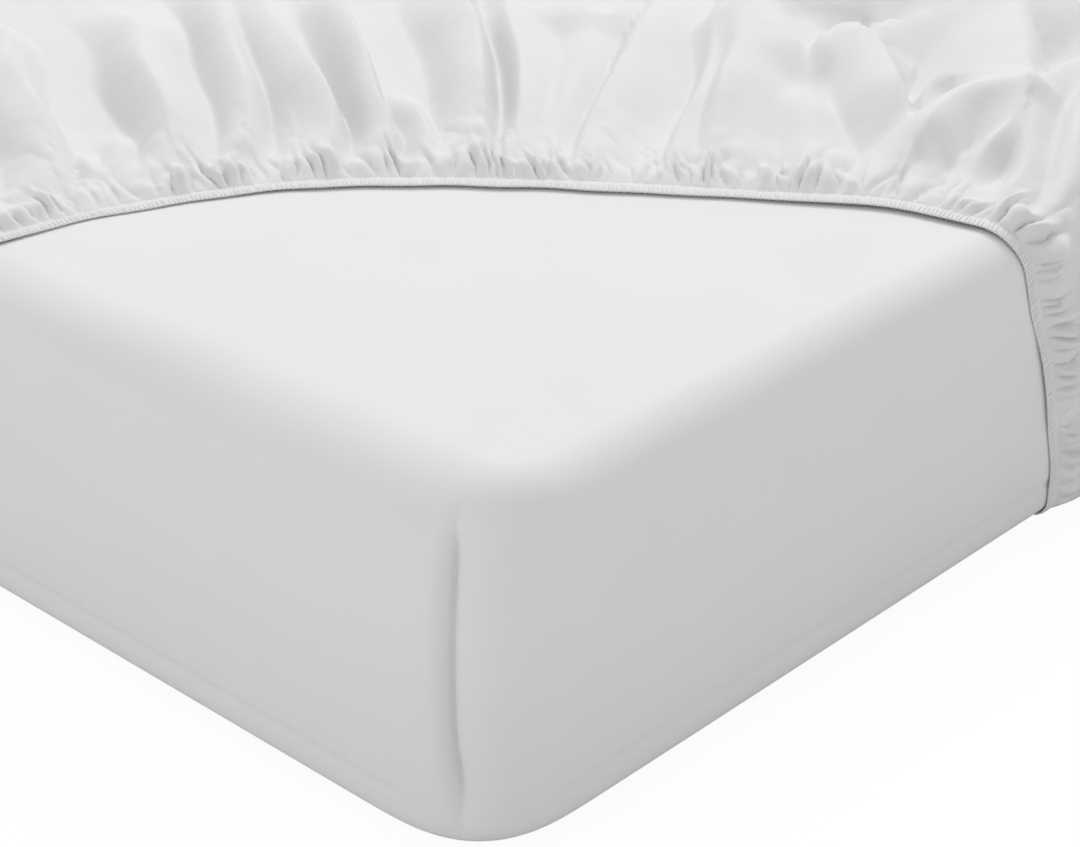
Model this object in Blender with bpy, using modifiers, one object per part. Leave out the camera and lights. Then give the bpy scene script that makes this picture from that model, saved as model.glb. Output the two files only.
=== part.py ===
"""A fitted sheet on a mattress: drawn over three of its corners and back from the fourth.

Units are metres and +Z is up. The mattress stands on z = 0 with its middle over the origin.
The sheet and the mattress share one set of functions. A point of the laid-out cloth has an
across place and an along place, and the cloth beyond an edge of the mattress's top goes round
that edge, down the side, round the lower edge and in underneath.
"""

import math

import bmesh
import bpy
from mathutils import Vector

# Mattress
WIDTH = 1.40
LENGTH = 2.00
HEIGHT = 0.29
CORNER_RADIUS = 0.075  # of the upright corners
EDGE_RADIUS = 0.035  # of the top edge, on all sides but the soft one
SOFT_EDGE_RADIUS = 0.075  # of the top edge on the -X side, beside the bare corner
LOWER_RADIUS = 0.020
TUCK_RISE = 0.005  # the rim of the underside is this much above the floor
TUCK_MARGIN = 0.13  # how far in from the lower edge that rim reaches
TUCK_SLOPE = 0.04

# Sheet and its elastic
CLOTH_THICKNESS = 0.002
CLOTH_CLEARANCE = 0.0028  # between the mattress and the cloth on it
UNDER_CLEARANCE = 0.0024  # the same beneath the mattress
TUCK_DEPTH = 0.10  # how far the hem reaches in underneath
HEM_FLAT = 0.020  # the cloth beside the elastic has no folds for this far
HEM_RISE = 0.004  # how far the elastic across the top is lifted off the mattress
HEM_RISE_REACH = 0.10
ELASTIC_WIDTH = 0.014
ELASTIC_THICKNESS = 0.002
SEAM_GAP = 0.0003

# How far from the bare corner the hem goes down the -X side
LEFT_HEM_REACH = 0.64

# The drawn-back hem, from under the -Y side, up it, across the top and down the -X side.
# Places on the laid-out cloth, measured from the mattress's bare corner.
BARE_HEM = (
    (0.780, -0.377),
    (0.718, -0.345),
    (0.697, -0.300),
    (0.690, -0.250),
    (0.687, -0.208),
    (0.665, -0.125),
    (0.632, -0.041),
    (0.606, 0.030),
    (0.588, 0.106),
    (0.545, 0.173),
    (0.450, 0.303),
    (0.376, 0.400),
    (0.289, 0.484),
    (0.182, 0.542),
    (0.080, 0.574),
    (-0.020, 0.588),
    (-0.120, 0.603),
    (-0.211, 0.624),
    (-0.258, 0.640),
    (-0.310, 0.665),
    (-0.358, 0.740),
)

# The main folds of the slack cloth: the places along each one's crest, from the bare corner,
# with its half width and its height.
FOLDS = (
    {"crest": ((0.13, 0.57), (0.19, 0.66), (0.30, 0.88)), "half_width": 0.038, "height": 0.018},
    {"crest": ((0.21, 0.56), (0.32, 0.70), (0.43, 0.86)), "half_width": 0.038, "height": 0.026},
    {"crest": ((0.27, 0.51), (0.33, 0.60), (0.49, 0.81)), "half_width": 0.034, "height": 0.022},
    {"crest": ((0.33, 0.46), (0.40, 0.55), (0.51, 0.78)), "half_width": 0.036, "height": 0.026},
    {"crest": ((0.38, 0.43), (0.44, 0.53), (0.54, 0.67)), "half_width": 0.030, "height": 0.018},
    {"crest": ((0.41, 0.40), (0.51, 0.49), (0.67, 0.67)), "half_width": 0.042, "height": 0.028},
    {"crest": ((0.46, 0.35), (0.59, 0.45), (0.70, 0.54)), "half_width": 0.048, "height": 0.018},
    {"crest": ((0.50, 0.29), (0.62, 0.38), (0.72, 0.47)), "half_width": 0.044, "height": 0.022},
    {"crest": ((0.56, 0.27), (0.67, 0.35), (0.81, 0.43)), "half_width": 0.038, "height": 0.034},
    {"crest": ((0.81, 0.43), (0.77, 0.36), (0.70, 0.29)), "half_width": 0.036, "height": 0.022},
    {"crest": ((0.73, 0.31), (0.82, 0.33), (0.70, 0.17)), "half_width": 0.034, "height": 0.026},
    {"crest": ((0.60, 0.13), (0.71, 0.16), (0.84, 0.15)), "half_width": 0.042, "height": 0.028},
    {"crest": ((0.77, 0.46), (0.89, 0.43), (1.08, 0.26)), "half_width": 0.036, "height": 0.022},
    {"crest": ((0.66, 0.05), (0.78, 0.09), (0.98, 0.10)), "half_width": 0.036, "height": 0.020},
)

# How finely each stretch is faceted
ROUND_STEPS = 5
LOWER_STEPS = 4
ARC_COLUMNS = 36
ARC_RIGHT_COLUMNS = 21  # of those, the ones that run to the far +X side
SIDE_LINES = (0.14, 0.07, 0.03)  # beyond the top edge's rounding, down each side
CORNER_COLUMNS = 3  # on each side of the far corner
CORNER_REACH = 0.04  # how far past a near corner its last column stands
NEAR_ROWS = (0.0, 0.02, 0.045, 0.075, 0.11, 0.15, 0.195, 0.245, 0.31, 0.39, 0.49)
NEAR_SHARE = 0.8  # the most of a column that those rows take
OPEN_ROWS = 3
OPEN_REACH = 0.06  # the rows that follow the far sides start this far inside their edges
MATTRESS_CORNER_STEPS = 8
MATTRESS_SIDE_STEPS = 5

WHITE_COVER = (0.82, 0.82, 0.82)
WHITE_CLOTH = (0.84, 0.84, 0.84)
WHITE_ELASTIC = (0.86, 0.86, 0.86)

BARE_CORNER = Vector((-WIDTH / 2, -LENGTH / 2))

# The centres of the corners' arcs, seen from above
ARC_X = WIDTH / 2 - CORNER_RADIUS
ARC_Y = LENGTH / 2 - CORNER_RADIUS


def clear_scene():
    for item in list(bpy.data.objects):
        bpy.data.objects.remove(item, do_unlink=True)


def plain_material(name, colour, roughness):
    material = bpy.data.materials.new(name)
    material.use_nodes = True
    shader = material.node_tree.nodes["Principled BSDF"]
    shader.inputs["Base Color"].default_value = (*colour, 1.0)
    shader.inputs["Roughness"].default_value = roughness
    shader.inputs["Metallic"].default_value = 0.0
    return material


# The mattress's own surface


def edge_radius(anchor, outward):
    """The top edge's radius at a place of the rim, whose side faces outward."""
    softness = max(0.0, -outward.x) ** 4 * (ARC_Y - anchor.y) / (2 * ARC_Y)
    return EDGE_RADIUS + (SOFT_EDGE_RADIUS - EDGE_RADIUS) * softness


def stretches(radius):
    """How far the cloth has come where the top edge, the side and the lower edge end."""
    top = math.pi / 2 * radius
    side = top + HEIGHT - radius - LOWER_RADIUS - TUCK_RISE
    return top, side, side + math.pi / 2 * LOWER_RADIUS


def surface(anchor, outward, distance, lift):
    """A point of the mattress's surface, lifted off it.

    anchor is the nearest place on the rectangle of the arc centres, outward the unit direction
    from there, and distance how far the cloth has come from the anchor.
    """
    radius = edge_radius(anchor, outward)
    top, side, lower = stretches(radius)
    flat = CORNER_RADIUS - radius
    travel = distance - flat
    if travel <= 0.0:
        place = anchor + outward * distance
        return Vector((place.x, place.y, HEIGHT + lift))
    if travel <= top:
        angle = travel / radius
        reach = (radius + lift) * math.sin(angle)
        height = HEIGHT - radius + (radius + lift) * math.cos(angle)
    elif travel <= side:
        reach = radius + lift
        height = HEIGHT - radius - (travel - top)
    else:
        angle = min((travel - side) / LOWER_RADIUS, math.pi / 2)
        reach = radius - LOWER_RADIUS + (LOWER_RADIUS + lift) * math.cos(angle)
        height = TUCK_RISE + LOWER_RADIUS - (LOWER_RADIUS + lift) * math.sin(angle)
    place = anchor + outward * (flat + reach)
    inward = max(0.0, travel - lower)
    across = 1.0 - inward / (WIDTH / 2 - LOWER_RADIUS)
    along = 1.0 - inward / (LENGTH / 2 - LOWER_RADIUS)
    return Vector((place.x * across, place.y * along, height))


def split_place(place):
    """The anchor, outward direction and distance of a place on the laid-out cloth."""
    anchor = Vector((min(max(place.x, -ARC_X), ARC_X), min(max(place.y, -ARC_Y), ARC_Y)))
    beyond = place - anchor
    wide, deep = abs(beyond.x), abs(beyond.y)
    distance = max(wide, deep)
    if distance == 0.0:
        return anchor, Vector((0.0, 0.0)), 0.0
    turn = math.pi / 4 * min(wide, deep) / distance
    outward = Vector((math.cos(turn), math.sin(turn)))
    if deep > wide:
        outward = outward.yx
    outward = Vector((math.copysign(outward.x, beyond.x), math.copysign(outward.y, beyond.y)))
    return anchor, outward, distance


def wrapped(place, lift):
    """Where a place on the laid-out cloth comes to on the mattress."""
    anchor, outward, distance = split_place(place)
    radius = edge_radius(anchor, outward)
    _, side, lower = stretches(radius)
    under = (distance - CORNER_RADIUS + radius - side) / (lower - side)
    clearance = CLOTH_CLEARANCE + (UNDER_CLEARANCE - CLOTH_CLEARANCE) * min(max(under, 0.0), 1.0)
    return surface(anchor, outward, distance, clearance + lift)


def mattress_columns():
    """The anchor and outward direction of each column of the mattress's faces, all round."""
    corners = (
        (ARC_X, -ARC_Y, -math.pi / 2),
        (ARC_X, ARC_Y, 0.0),
        (-ARC_X, ARC_Y, math.pi / 2),
        (-ARC_X, -ARC_Y, math.pi),
    )
    columns = []
    for index, (x, y, start) in enumerate(corners):
        centre = Vector((x, y))
        for step in range(MATTRESS_CORNER_STEPS + 1):
            angle = start + math.pi / 2 * step / MATTRESS_CORNER_STEPS
            columns.append((centre, Vector((math.cos(angle), math.sin(angle)))))
        following = Vector(corners[(index + 1) % 4][:2])
        outward = columns[-1][1]
        for step in range(1, MATTRESS_SIDE_STEPS):
            columns.append((centre.lerp(following, step / MATTRESS_SIDE_STEPS), outward))
    return columns


def mattress_stations(anchor, outward):
    """The distances of the rings of the mattress's faces, from its top down to its underside."""
    radius = edge_radius(anchor, outward)
    top, side, lower = stretches(radius)
    upper_round = [top * step / ROUND_STEPS for step in range(ROUND_STEPS + 1)]
    sides = [top + (side - top) * step / 3 for step in (1, 2, 3)]
    lower_round = [side + (lower - side) * step / LOWER_STEPS for step in range(1, LOWER_STEPS + 1)]
    return [CORNER_RADIUS - radius + travel for travel in (*upper_round, *sides, *lower_round)]


def make_mattress(material):
    mesh = bmesh.new()
    columns = mattress_columns()
    rings = [[] for _ in mattress_stations(*columns[0])]
    for anchor, outward in columns:
        for ring, distance in zip(rings, mattress_stations(anchor, outward)):
            ring.append(mesh.verts.new(surface(anchor, outward, distance, 0.0)))
    rim = [vertex.co for vertex in rings[-1]]
    for margin, height in ((TUCK_MARGIN, TUCK_RISE), (TUCK_MARGIN + TUCK_SLOPE, 0.0)):
        across = 1.0 - margin / (WIDTH / 2 - LOWER_RADIUS)
        along = 1.0 - margin / (LENGTH / 2 - LOWER_RADIUS)
        rings.append([mesh.verts.new((co.x * across, co.y * along, height)) for co in rim])
    for upper, lower in zip(rings, rings[1:]):
        for index in range(len(upper)):
            following = (index + 1) % len(upper)
            mesh.faces.new((upper[index], lower[index], lower[following], upper[following]))
    mesh.faces.new(rings[0])
    mesh.faces.new(reversed(rings[-1]))
    bmesh.ops.recalc_face_normals(mesh, faces=mesh.faces)
    return finished(mesh, "mattress", material)


# The sheet


def smooth_step(value):
    value = min(max(value, 0.0), 1.0)
    return value * value * (3.0 - 2.0 * value)


def spline(points, steps):
    """Points along a smooth curve through the given ones (Catmull-Rom)."""
    padded = [points[0] * 2 - points[1], *points, points[-1] * 2 - points[-2]]
    found = []
    for index in range(1, len(padded) - 2):
        before, start, end, after = padded[index - 1 : index + 3]
        for step in range(steps):
            t = step / steps
            found.append(
                0.5
                * (
                    start * 2
                    + (end - before) * t
                    + (before * 2 - start * 5 + end * 4 - after) * t**2
                    + (start * 3 - before - end * 3 + after) * t**3
                )
            )
    return [*found, points[-1]]


def crossing(curve, axis, value):
    """The first place where a curve reaches a value of x or y, by its axis number."""
    for start, end in zip(curve, curve[1:]):
        low, high = start[axis] - value, end[axis] - value
        if low * high <= 0.0 and low != high:
            return start.lerp(end, low / (low - high))
    return min(curve, key=lambda point: abs(point[axis] - value))


def evenly(curve, count):
    """count + 1 places, evenly spaced along a curve."""
    lengths = [0.0]
    for start, end in zip(curve, curve[1:]):
        lengths.append(lengths[-1] + (end - start).length)
    found, index = [], 0
    for step in range(count + 1):
        wanted = lengths[-1] * step / count
        while index < len(curve) - 2 and lengths[index + 1] < wanted:
            index += 1
        share = (wanted - lengths[index]) / (lengths[index + 1] - lengths[index])
        found.append(curve[index].lerp(curve[index + 1], share))
    return found


def side_lines(radius, side_place):
    """Where the lines of the faceting lie on the laid-out cloth, from the hem up to the top.

    radius is the top edge's, and side_place the side's distance from the mattress's middle.
    """
    top, side, lower = stretches(radius)
    under = [lower + TUCK_DEPTH, lower + TUCK_DEPTH / 2]
    lower_round = [lower - (lower - side) * step / LOWER_STEPS for step in range(LOWER_STEPS + 1)]
    middle = [top + reach for reach in SIDE_LINES]
    upper_round = [top - top * step / ROUND_STEPS for step in range(ROUND_STEPS + 1)]
    return [radius - side_place - travel for travel in (*under, *lower_round, *middle, *upper_round)]


def bare_hem_places(front, left):
    """The starts of the sheet's columns, on the drawn-back hem."""
    curve = spline([BARE_CORNER + Vector(point) for point in BARE_HEM], 12)
    rising = [curve[0], *(crossing(curve, 1, y) for y in front[1:])]
    falling = [*(crossing(curve[::-1], 0, x) for x in left[:-1]), curve[-1]]
    middle = [p for p in curve if p.y > rising[-1].y and p.x > falling[0].x]
    arc = evenly([rising[-1], *middle, falling[0]], ARC_COLUMNS)
    return rising + arc[1:-1] + falling


def far_column(index, low, high, travel, columns):
    """Where a column stands along a far side: two at the near corner, then evenly, and the
    last few round the far corner."""
    if index == 0:
        return low
    low += CORNER_REACH
    if travel < 0.0:
        return low + (high + travel - low) * (index - 1) / (columns - 1)
    straight = columns - CORNER_COLUMNS
    if index <= straight:
        return low + (high - low) * (index - 1) / (straight - 1)
    return high + travel * (index - straight) / CORNER_COLUMNS


def far_place(index, hem_parts, travel):
    """The place of a column on the row that runs at one distance beyond both far edges."""
    rising, front, left = hem_parts
    right, back = ARC_X + travel, ARC_Y + travel
    if index < rising:
        return Vector((right, front[index]))
    index -= rising - 1
    if index <= ARC_RIGHT_COLUMNS:
        return Vector((right, far_column(index, front[-1], ARC_Y, travel, ARC_RIGHT_COLUMNS)))
    index = ARC_COLUMNS - index
    if index > 0:
        columns = ARC_COLUMNS - ARC_RIGHT_COLUMNS
        return Vector((far_column(index, left[0], ARC_X, travel, columns), back))
    return Vector((left[-index], back))


def sheet_places():
    """The places of the sheet's faces on the laid-out cloth: one list for each row."""
    front = side_lines(EDGE_RADIUS, LENGTH / 2)
    left = side_lines(EDGE_RADIUS, WIDTH / 2)[::-1]
    hem_anchor = Vector((-ARC_X, BARE_CORNER.y + LEFT_HEM_REACH))
    hem_radius = edge_radius(hem_anchor, Vector((-1.0, 0.0)))
    hem = bare_hem_places(front, side_lines(hem_radius, WIDTH / 2)[::-1])
    hem_parts = (len(front), front, left)
    inner = [far_place(index, hem_parts, -OPEN_REACH) for index in range(len(hem))]
    rows = []
    for reach in NEAR_ROWS:
        longest = NEAR_SHARE * reach / NEAR_ROWS[-1]
        shares = [min(reach / (f - h).length, longest) for h, f in zip(hem, inner)]
        rows.append([h.lerp(f, share) for h, f, share in zip(hem, inner, shares)])
    near = rows[-1]
    for step in range(1, OPEN_ROWS + 1):
        rows.append([n.lerp(f, step / OPEN_ROWS) for n, f in zip(near, inner)])
    for distance in (0.0, *(-ARC_Y - line for line in reversed(front))):
        rows.append([far_place(index, hem_parts, distance) for index in range(len(hem))])
    return rows


def fold_lift(place, reach):
    """How far the folds lift the cloth at a place that lies that far in from the bare hem."""
    local = place - BARE_CORNER
    lift = 0.0
    for fold in FOLDS:
        crest = [Vector(point) for point in fold["crest"]]
        nearest = min(
            (segment_distance(local, start, end) for start, end in zip(crest, crest[1:]))
        )
        share = nearest / fold["half_width"]
        if share < 1.0:
            lift = max(lift, fold["height"] * 0.5 * (1.0 + math.cos(math.pi * share)))
    return lift * smooth_step((reach - HEM_FLAT) / HEM_RISE_REACH)


def segment_distance(point, start, end):
    along = end - start
    share = min(max((point - start).dot(along) / along.length_squared, 0.0), 1.0)
    return (point - start - along * share).length


def hem_rise(place, reach):
    """The lift of the drawn-back hem, which is largest on the flat of the top."""
    anchor, _, distance = split_place(place)
    on_top = smooth_step((CORNER_RADIUS - distance) / CORNER_RADIUS)
    return HEM_RISE * on_top * smooth_step(1.0 - reach / HEM_RISE_REACH)


def grid_object(name, rows, closed, material, thickness):
    """A shell on a primitive grid whose points are moved to the given rows of places."""
    across, along = len(rows[0]), len(rows)
    mesh = bmesh.new()
    bmesh.ops.create_grid(mesh, x_segments=across - 1, y_segments=along - 1, size=1.0)
    mesh.verts.ensure_lookup_table()
    order = sorted(mesh.verts, key=lambda v: (round(v.co.y, 5), round(v.co.x, 5)))
    for vertex, place in zip(order, (place for row in rows for place in row)):
        vertex.co = place
    if closed:
        bmesh.ops.remove_doubles(mesh, verts=mesh.verts, dist=1e-6)
    bmesh.ops.recalc_face_normals(mesh, faces=mesh.faces)
    top = max(mesh.faces, key=lambda face: face.calc_center_median().z)
    if top.normal.z < 0.0:
        bmesh.ops.reverse_faces(mesh, faces=mesh.faces)
    made = finished(mesh, name, material)
    shell = made.modifiers.new("Thickness", "SOLIDIFY")
    shell.thickness = thickness
    shell.offset = 1.0
    return made


def make_sheet(places, material):
    hem, rows = places[0], []
    for row in places:
        lifted = []
        for start, place in zip(hem, row):
            reach = (place - start).length
            lift = fold_lift(place, reach) + hem_rise(place, reach)
            lifted.append(wrapped(place, lift))
        rows.append(lifted)
    return grid_object("fitted_sheet", rows, False, material, CLOTH_THICKNESS)


def make_elastic(places, material):
    """The elastic: a flat band outside the sheet's own edge, all the way round."""
    first, last = places[0], places[-1]
    right, left = [row[0] for row in places], [row[-1] for row in places]
    loop = first[::-1][:-1] + right[:-1] + last[:-1] + left[::-1][:-1]
    inner, outer = [], []
    for index, place in enumerate(loop):
        before, after = loop[index - 1], loop[(index + 1) % len(loop)]
        into, out_of = (place - before).normalized(), (after - place).normalized()
        normals = [Vector((way.y, -way.x)) for way in (into, out_of)]
        mitre = (normals[0] + normals[1]).normalized()
        mitre /= max(mitre.dot(normals[0]), 0.5)
        on_hem = 0.0 if index < len(first) else 1.0
        lift = hem_rise(place, on_hem)
        inner.append(wrapped(place + mitre * SEAM_GAP, lift))
        outer.append(wrapped(place + mitre * (SEAM_GAP + ELASTIC_WIDTH), lift))
    rows = [inner + inner[:1], outer + outer[:1]]
    return grid_object("elastic_edge", rows, True, material, ELASTIC_THICKNESS)


# Building


def finished(mesh, name, material):
    """An object in the part's collection, from a bmesh that is then freed."""
    data = bpy.data.meshes.new(name)
    mesh.to_mesh(data)
    mesh.free()
    data.materials.append(material)
    data.shade_smooth()
    made = bpy.data.objects.new(name, data)
    part_collection().objects.link(made)
    return made


def part_collection():
    name = "fitted_sheet_on_mattress"
    if name not in bpy.data.collections:
        bpy.context.scene.collection.children.link(bpy.data.collections.new(name))
    return bpy.data.collections[name]


def main():
    clear_scene()
    make_mattress(plain_material("cover_cloth", WHITE_COVER, 0.9))
    places = sheet_places()
    make_sheet(places, plain_material("sheet_cloth", WHITE_CLOTH, 0.85))
    make_elastic(places, plain_material("elastic", WHITE_ELASTIC, 0.8))


main()
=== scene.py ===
"""The looks of a white fitted sheet on a mattress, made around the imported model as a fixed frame.

The sheet is drawn over three corners of the mattress and back from the fourth, so its elastic hem
curves across the top and down two sides. Everything that follows the mattress is laid out flat
first: a place of the laid-out cloth has an x and a y, and the cloth beyond an edge of the top goes
round that edge, down the side, round the lower edge and in underneath.
"""

from __future__ import annotations

import logging
import math
from dataclasses import dataclass, field
from enum import Enum

import bmesh
import bpy
import numpy as np
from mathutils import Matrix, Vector


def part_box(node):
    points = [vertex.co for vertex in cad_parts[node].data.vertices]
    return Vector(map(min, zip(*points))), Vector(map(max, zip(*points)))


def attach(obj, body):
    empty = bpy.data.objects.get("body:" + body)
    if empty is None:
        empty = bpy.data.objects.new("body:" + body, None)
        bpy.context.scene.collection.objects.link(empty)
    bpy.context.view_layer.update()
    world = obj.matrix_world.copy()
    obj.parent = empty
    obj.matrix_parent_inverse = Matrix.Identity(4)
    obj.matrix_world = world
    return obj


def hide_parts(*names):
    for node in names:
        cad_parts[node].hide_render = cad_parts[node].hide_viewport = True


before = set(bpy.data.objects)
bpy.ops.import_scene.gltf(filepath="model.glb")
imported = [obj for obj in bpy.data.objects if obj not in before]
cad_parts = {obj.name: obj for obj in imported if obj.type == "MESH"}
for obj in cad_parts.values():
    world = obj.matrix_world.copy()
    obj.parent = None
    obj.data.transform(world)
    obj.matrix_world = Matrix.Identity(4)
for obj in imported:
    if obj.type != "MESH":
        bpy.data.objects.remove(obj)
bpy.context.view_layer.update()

BODY = "root"
LOG = logging.getLogger("fitted_sheet")

Array = np.ndarray


# ---------------------------------------------------------------- numbers and curves


def smooth_step(low: float, high: float, value: Array) -> Array:
    """A smooth rise from 0 to 1 as the value goes from low to high.

    Args:
        low: The value where the rise starts.
        high: The value where the rise ends. It may be below low, for a fall.
        value: The values.

    Returns:
        Numbers from 0 to 1.
    """
    share = np.clip((value - low) / (high - low), 0.0, 1.0)
    return share * share * (3.0 - 2.0 * share)


def ripples(x: Array, y: Array, wavelength: float, seed: int, waves: int = 14) -> Array:
    """A smooth random field of about unit height: plane waves of like length, in all directions.

    Args:
        x: Places across, in metres.
        y: Places along, in metres.
        wavelength: The usual distance between the field's hills, in metres.
        seed: Picks the waves.
        waves: How many waves are added up.

    Returns:
        The field at each place.
    """
    random = np.random.default_rng(seed)
    total = np.zeros(np.broadcast(x, y).shape)
    for _ in range(waves):
        heading, phase = random.uniform(0.0, 2 * math.pi, 2)
        pitch = 2 * math.pi / (wavelength * random.uniform(0.75, 1.35))
        total += np.sin(pitch * (x * math.cos(heading) + y * math.sin(heading)) + phase)
    return total / math.sqrt(waves / 2)


def spline(points: Array, steps: int) -> Array:
    """A smooth curve through points (Catmull-Rom).

    Args:
        points: The points, a row each.
        steps: How many places the curve has for each stretch between points.

    Returns:
        The curve's places, a row each.
    """
    padded = np.vstack((2 * points[0] - points[1], points, 2 * points[-1] - points[-2]))
    t = (np.arange(steps) / steps)[:, None]
    found = []
    for before, start, end, after in zip(padded, padded[1:], padded[2:], padded[3:]):
        found.append(
            0.5
            * (
                2 * start
                + (end - before) * t
                + (2 * before - 5 * start + 4 * end - after) * t**2
                + (3 * start - before - 3 * end + after) * t**3
            )
        )
    return np.vstack((*found, points[-1:]))


def travelled(curve: Array) -> Array:
    """How far along a curve each of its places is."""
    steps = np.linalg.norm(np.diff(curve, axis=0), axis=1)
    return np.concatenate(([0.0], np.cumsum(steps)))


def places_at(curve: Array, wanted: Array) -> Array:
    """The places of a curve that are the wanted distances along it."""
    along = travelled(curve)
    return np.stack([np.interp(wanted, along, axis) for axis in curve.T], axis=-1)


def stepped(stops: tuple[tuple[float, float], ...]) -> Array:
    """Numbers from 0 up, whose steps change from stretch to stretch.

    Args:
        stops: For each stretch, where it ends and the size of its steps.

    Returns:
        The numbers, the last of them the last stretch's end.
    """
    found, start = [0.0], 0.0
    for end, step in stops:
        count = max(1, round((end - start) / step))
        found.extend(start + (end - start) * (i + 1) / count for i in range(count))
        start = end
    return np.array(found)


# ---------------------------------------------------------------- the mattress's form


@dataclass(frozen=True)
class MattressForm:
    """The smooth outer form of the mattress, and how cloth goes round it, in metres."""

    width: float
    length: float
    height: float
    corner_radius: float = 0.075
    edge_radius: float = 0.035
    soft_edge_radius: float = 0.060
    lower_radius: float = 0.020
    tuck_rise: float = 0.005

    @property
    def bare_corner(self) -> Array:
        """The corner that the sheet is drawn back from, seen from above."""
        return np.array((-self.width / 2, -self.length / 2))

    @property
    def arc(self) -> Array:
        """How far the centres of the corners' arcs are from the middle, across and along."""
        return np.array((self.width, self.length)) / 2 - self.corner_radius

    def rim_radius(self, anchor: Array, outward: Array) -> Array:
        """The top edge's radius at places of the rim.

        Args:
            anchor: The nearest place of the arc centres' rectangle, a row each.
            outward: The way the side faces there, a row each.

        Returns:
            The radii. They are largest on the -X side beside the bare corner.
        """
        softness = np.maximum(0.0, -outward[..., 0]) ** 2
        softness = softness * (self.arc[1] - anchor[..., 1]) / (2 * self.arc[1])
        return self.edge_radius + (self.soft_edge_radius - self.edge_radius) * softness

    def stretches(self, radius: Array | float) -> tuple[Array, Array, Array]:
        """How far cloth has come where the top edge, the side and the lower edge end.

        Args:
            radius: The top edge's radius.

        Returns:
            The three distances from where the top edge starts to round.
        """
        top = math.pi / 2 * radius
        side = top + self.height - radius - self.lower_radius - self.tuck_rise
        return top, side, side + math.pi / 2 * self.lower_radius

    def split(self, place: Array) -> tuple[Array, Array, Array]:
        """Takes places of the laid-out cloth apart.

        Args:
            place: The places, a row each.

        Returns:
            Their anchors on the arc centres' rectangle, the unit directions outward from
            there, and how far out they are.
        """
        anchor = np.clip(place, -self.arc, self.arc)
        beyond = place - anchor
        reach = np.abs(beyond)
        distance = reach.max(axis=-1)
        turn = math.pi / 4 * reach.min(axis=-1) / np.maximum(distance, 1e-9)
        steep = reach[..., 1] > reach[..., 0]
        across = np.where(steep, np.sin(turn), np.cos(turn))
        along = np.where(steep, np.cos(turn), np.sin(turn))
        outward = np.stack((across, along), axis=-1) * np.sign(beyond + 1e-12)
        return anchor, outward * (distance > 0.0)[..., None], distance

    def surface(self, anchor: Array, outward: Array, distance: Array, lift: Array) -> Array:
        """Points of the mattress's surface, or lifted off it.

        Args:
            anchor: Where the cloth leaves the arc centres' rectangle, a row each.
            outward: The unit direction from there, a row each.
            distance: How far the cloth has come from there.
            lift: How far off the surface each point is.

        Returns:
            The points, a row each.
        """
        radius = self.rim_radius(anchor, outward)
        top, side, lower = self.stretches(radius)
        flat = self.corner_radius - radius
        travel = distance - flat
        turn = np.clip(travel / radius, 0.0, math.pi / 2)
        tuck = np.clip((travel - side) / self.lower_radius, 0.0, math.pi / 2)
        reach = np.where(
            travel <= side,
            (radius + lift) * np.sin(turn),
            radius - self.lower_radius + (self.lower_radius + lift) * np.cos(tuck),
        )
        height = np.where(
            travel <= side,
            self.height
            - radius
            + (radius + lift) * np.cos(turn)
            - np.maximum(travel - top, 0.0),
            self.tuck_rise + self.lower_radius - (self.lower_radius + lift) * np.sin(tuck),
        )
        out = np.where(travel <= 0.0, distance, flat + reach)
        plan = anchor + outward * out[..., None]
        inward = np.maximum(0.0, travel - lower)[..., None]
        half = np.array((self.width, self.length)) / 2 - self.lower_radius
        plan = plan * (1.0 - inward / half)
        return np.concatenate((plan, height[..., None]), axis=-1)

    def wrapped(self, place: Array, lift: Array) -> Array:
        """Where places of the laid-out cloth come to, lifted off the mattress."""
        return self.surface(*self.split(place), lift)

    def travel(self, place: Array) -> tuple[Array, Array, Array, Array]:
        """How far cloth has gone over the edge.

        Args:
            place: Places on the laid-out cloth.

        Returns:
            How far each has gone, and where the top edge, the side and the lower edge end there.
        """
        anchor, outward, distance = self.split(place)
        radius = self.rim_radius(anchor, outward)
        return (distance - self.corner_radius + radius, *self.stretches(radius))

    def on_top(self, place: Array) -> Array:
        """1 on the flat of the top, falling to 0 over its rounded edge."""
        gone, top, _, _ = self.travel(place)
        return smooth_step(0.6, -0.4, gone / top)

    def underneath(self, place: Array) -> Array:
        """0 on the top and sides, rising to 1 round the lower edge."""
        gone, _, side, lower = self.travel(place)
        return smooth_step(0.0, 1.0, (gone - side) / (lower - side))


# ---------------------------------------------------------------- finishes


@dataclass(frozen=True)
class Term:
    """A node's socket that can be added to and multiplied like a number."""

    tree: bpy.types.NodeTree
    socket: bpy.types.NodeSocket

    def _maths(self, operation: str, first: Term | float, second: Term | float) -> Term:
        """Adds a Math node.

        Args:
            operation: The node's operation.
            first: Its first value.
            second: Its second value.

        Returns:
            The node's result.
        """
        made = self.tree.nodes.new("ShaderNodeMath")
        made.operation = operation
        for socket, value in zip(made.inputs, (first, second)):
            if isinstance(value, Term):
                self.tree.links.new(value.socket, socket)
            else:
                socket.default_value = value
        return Term(self.tree, made.outputs[0])

    def __add__(self, other: Term | float) -> Term:
        """The sum."""
        return self._maths("ADD", self, other)

    def __radd__(self, other: float) -> Term:
        """The sum, from the right."""
        return self._maths("ADD", other, self)

    def __mul__(self, other: Term | float) -> Term:
        """The product."""
        return self._maths("MULTIPLY", self, other)

    def __rmul__(self, other: float) -> Term:
        """The product, from the right."""
        return self._maths("MULTIPLY", other, self)


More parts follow.
